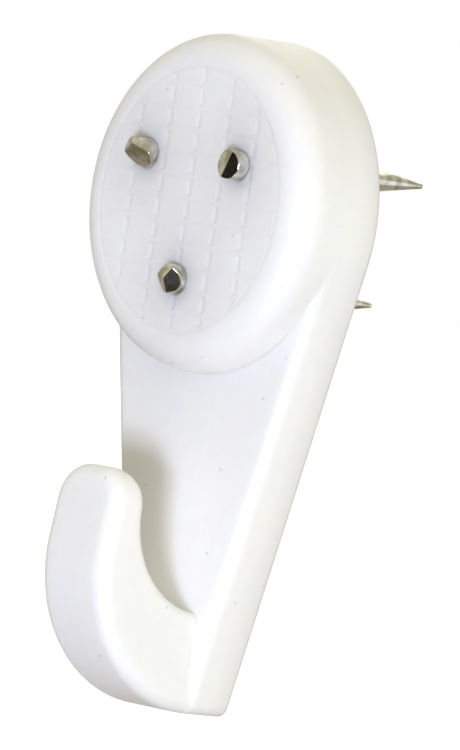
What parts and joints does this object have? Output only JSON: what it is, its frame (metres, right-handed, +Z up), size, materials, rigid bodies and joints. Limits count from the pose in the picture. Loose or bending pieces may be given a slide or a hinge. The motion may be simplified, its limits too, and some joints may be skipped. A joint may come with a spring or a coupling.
{
  "type": "hardwall picture hook",
  "caption": "Moulded white plastic wall hook for hanging pictures: a round boss with a waffle face carries steel wall pins above a tapering stem that ends in a J-shaped hook.",
  "frame": {"origin": "centre of the round boss, on the flat back that lies against the wall", "axes": "+Y runs into the wall along the pins, +Z runs up the wall from the hook to the boss, +X runs across the hook, to the right as seen from the room"},
  "size_m": [0.02, 0.0204, 0.04],
  "materials": {
    "white_plastic": "satin moulded",
    "pin_steel": "hardened bright wire"
  },
  "bodies": {
    "root": {"hook_body": "white_plastic", "pin_upper_right": "pin_steel", "pin_upper_left": "pin_steel", "pin_lower": "pin_steel"}
  },
  "joints": []
}
